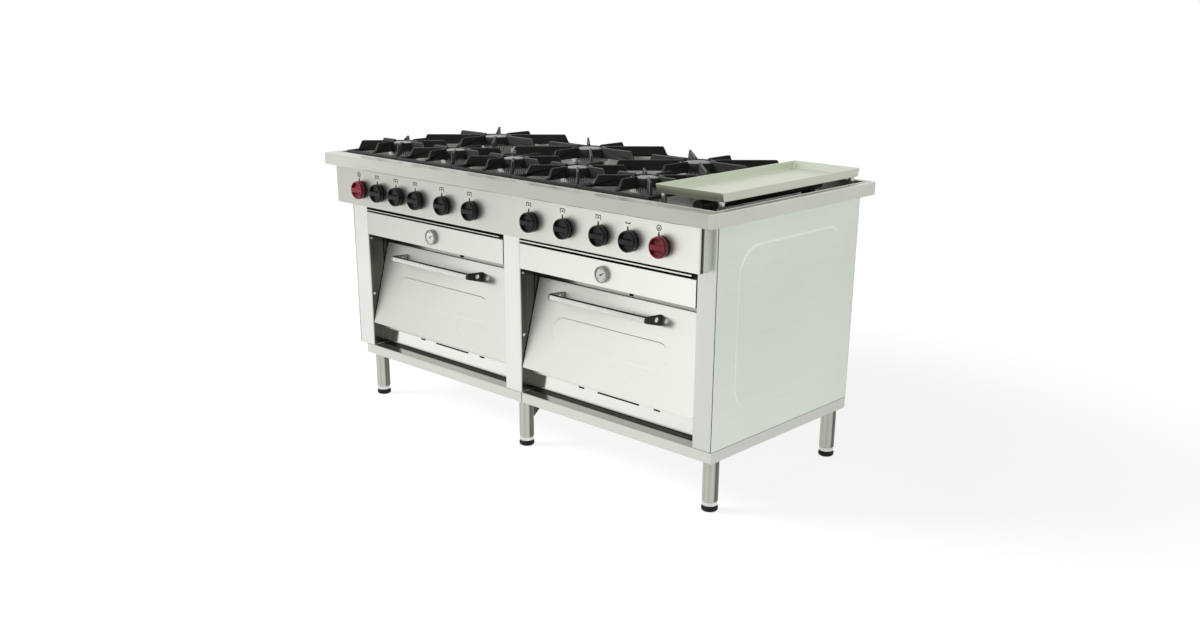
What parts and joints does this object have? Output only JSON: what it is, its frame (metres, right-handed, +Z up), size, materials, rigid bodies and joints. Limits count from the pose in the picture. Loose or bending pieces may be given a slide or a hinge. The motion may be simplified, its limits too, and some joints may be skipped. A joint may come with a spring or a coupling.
{
  "type": "gas range",
  "caption": "Free-standing stainless gas range with open burners under cast-iron grates, a griddle plate, leaning drop-down oven doors and knobs along a front panel.",
  "frame": {"origin": "on the floor under the middle of the worktop", "axes": "+X to the right along the front, +Y to the back, +Z up; the front faces -Y"},
  "size_m": [1.65, 0.775, 0.89],
  "materials": {
    "steel": "brushed, satin",
    "oven_steel": "dull, heat darkened",
    "cast_iron": "matt, cast",
    "enamel": "black vitreous enamel",
    "black_plastic": "semi gloss",
    "red_plastic": "semi gloss",
    "handle_plastic": "matt",
    "foot_plastic": "matt",
    "chrome": "polished",
    "brass": "machined",
    "pipe_steel": "dull"
  },
  "bodies": {
    "range_body": {"top_frame": "steel", "hob_deck": "enamel", "left_side_panel": "steel", "right_side_panel": "steel", "back_panel": "steel", "bottom_panel": "steel", "left_post": "steel", "center_post": "steel", "right_post": "steel", "base_frame": "steel", "legs": "steel", "leveling_feet": "foot_plastic", "control_panel": "steel", "knob_bezels": "black_plastic", "gas_valves": "brass", "gas_manifold": "pipe_steel", "left_oven_box": "oven_steel", "right_oven_box": "oven_steel", "left_thermometer": "chrome", "right_thermometer": "chrome", "hinge_plates": "oven_steel", "tray_runners": "steel", "post_screws": "chrome", "valances": "steel", "lower_panels": "steel", "oven_racks": "chrome", "oven_burners": "pipe_steel", "burner_heads": "cast_iron", "burner_caps": "cast_iron", "griddle_burner": "pipe_steel"},
    "left_door": {"left_door_skin": "steel", "left_door_core": "oven_steel", "left_handle_bar": "chrome", "left_handle_brackets": "handle_plastic"},
    "left_tray": {"left_drip_tray": "steel"},
    "right_door": {"right_door_skin": "steel", "right_door_core": "oven_steel", "right_handle_bar": "chrome", "right_handle_brackets": "handle_plastic"},
    "right_tray": {"right_drip_tray": "steel"},
    "left_oven_knob_body": {"left_oven_knob": "red_plastic"},
    "burner_knob_1_body": {"burner_knob_1": "black_plastic"},
    "burner_knob_2_body": {"burner_knob_2": "black_plastic"},
    "burner_knob_3_body": {"burner_knob_3": "black_plastic"},
    "burner_knob_4_body": {"burner_knob_4": "black_plastic"},
    "burner_knob_5_body": {"burner_knob_5": "black_plastic"},
    "burner_knob_6_body": {"burner_knob_6": "black_plastic"},
    "burner_knob_7_body": {"burner_knob_7": "black_plastic"},
    "burner_knob_8_body": {"burner_knob_8": "black_plastic"},
    "griddle_knob_body": {"griddle_knob": "black_plastic"},
    "right_oven_knob_body": {"right_oven_knob": "red_plastic"},
    "griddle_body": {"griddle": "steel"},
    "front_grate_1_body": {"front_grate_1": "cast_iron"},
    "front_grate_2_body": {"front_grate_2": "cast_iron"},
    "front_grate_3_body": {"front_grate_3": "cast_iron"},
    "front_grate_4_body": {"front_grate_4": "cast_iron"},
    "front_grate_5_body": {"front_grate_5": "cast_iron"},
    "rear_grate_1_body": {"rear_grate_1": "cast_iron"},
    "rear_grate_2_body": {"rear_grate_2": "cast_iron"},
    "rear_grate_3_body": {"rear_grate_3": "cast_iron"}
  },
  "joints": [
    {"name": "left_door_hinge", "type": "hinge", "parent": "range_body", "child": "left_door", "pos_m": [-0.36375, -0.2925, 0.279], "axis": [1, 0, 0], "range_deg": [0, 105.9]},
    {"name": "left_tray_slide", "type": "slide", "parent": "range_body", "child": "left_tray", "axis": [0, -1, 0], "range_m": [0, 0.45]},
    {"name": "right_door_hinge", "type": "hinge", "parent": "range_body", "child": "right_door", "pos_m": [0.38675, -0.2925, 0.279], "axis": [1, 0, 0], "range_deg": [0, 105.9]},
    {"name": "right_tray_slide", "type": "slide", "parent": "range_body", "child": "right_tray", "axis": [0, -1, 0], "range_m": [0, 0.45]},
    {"name": "left_oven_knob_turn", "type": "hinge", "parent": "range_body", "child": "left_oven_knob_body", "pos_m": [-0.6735, -0.36, 0.738], "axis": [0, -1, 0], "range_deg": [0, 270]},
    {"name": "burner_knob_1_turn", "type": "hinge", "parent": "range_body", "child": "burner_knob_1_body", "pos_m": [-0.5755, -0.36, 0.738], "axis": [0, -1, 0], "range_deg": [0, 180]},
    {"name": "burner_knob_2_turn", "type": "hinge", "parent": "range_body", "child": "burner_knob_2_body", "pos_m": [-0.4775, -0.36, 0.738], "axis": [0, -1, 0], "range_deg": [0, 180]},
    {"name": "burner_knob_3_turn", "type": "hinge", "parent": "range_body", "child": "burner_knob_3_body", "pos_m": [-0.3795, -0.36, 0.738], "axis": [0, -1, 0], "range_deg": [0, 180]},
    {"name": "burner_knob_4_turn", "type": "hinge", "parent": "range_body", "child": "burner_knob_4_body", "pos_m": [-0.249, -0.36, 0.738], "axis": [0, -1, 0], "range_deg": [0, 180]},
    {"name": "burner_knob_5_turn", "type": "hinge", "parent": "range_body", "child": "burner_knob_5_body", "pos_m": [-0.1185, -0.36, 0.738], "axis": [0, -1, 0], "range_deg": [0, 180]},
    {"name": "burner_knob_6_turn", "type": "hinge", "parent": "range_body", "child": "burner_knob_6_body", "pos_m": [0.1405, -0.36, 0.738], "axis": [0, -1, 0], "range_deg": [0, 180]},
    {"name": "burner_knob_7_turn", "type": "hinge", "parent": "range_body", "child": "burner_knob_7_body", "pos_m": [0.2785, -0.36, 0.738], "axis": [0, -1, 0], "range_deg": [0, 180]},
    {"name": "burner_knob_8_turn", "type": "hinge", "parent": "range_body", "child": "burner_knob_8_body", "pos_m": [0.4165, -0.36, 0.738], "axis": [0, -1, 0], "range_deg": [0, 180]},
    {"name": "griddle_knob_turn", "type": "hinge", "parent": "range_body", "child": "griddle_knob_body", "pos_m": [0.526, -0.36, 0.738], "axis": [0, -1, 0], "range_deg": [0, 180]},
    {"name": "right_oven_knob_turn", "type": "hinge", "parent": "range_body", "child": "right_oven_knob_body", "pos_m": [0.6355, -0.36, 0.738], "axis": [0, -1, 0], "range_deg": [0, 270]},
    {"name": "griddle_lift", "type": "slide", "parent": "range_body", "child": "griddle_body", "axis": [0, 0, 1], "range_m": [0, 0.12]},
    {"name": "front_grate_1_lift", "type": "slide", "parent": "range_body", "child": "front_grate_1_body", "axis": [0, 0, 1], "range_m": [0, 0.08]},
    {"name": "front_grate_2_lift", "type": "slide", "parent": "range_body", "child": "front_grate_2_body", "axis": [0, 0, 1], "range_m": [0, 0.08]},
    {"name": "front_grate_3_lift", "type": "slide", "parent": "range_body", "child": "front_grate_3_body", "axis": [0, 0, 1], "range_m": [0, 0.08]},
    {"name": "front_grate_4_lift", "type": "slide", "parent": "range_body", "child": "front_grate_4_body", "axis": [0, 0, 1], "range_m": [0, 0.08]},
    {"name": "front_grate_5_lift", "type": "slide", "parent": "range_body", "child": "front_grate_5_body", "axis": [0, 0, 1], "range_m": [0, 0.08]},
    {"name": "rear_grate_1_lift", "type": "slide", "parent": "range_body", "child": "rear_grate_1_body", "axis": [0, 0, 1], "range_m": [0, 0.08]},
    {"name": "rear_grate_2_lift", "type": "slide", "parent": "range_body", "child": "rear_grate_2_body", "axis": [0, 0, 1], "range_m": [0, 0.08]},
    {"name": "rear_grate_3_lift", "type": "slide", "parent": "range_body", "child": "rear_grate_3_body", "axis": [0, 0, 1], "range_m": [0, 0.08]}
  ]
}
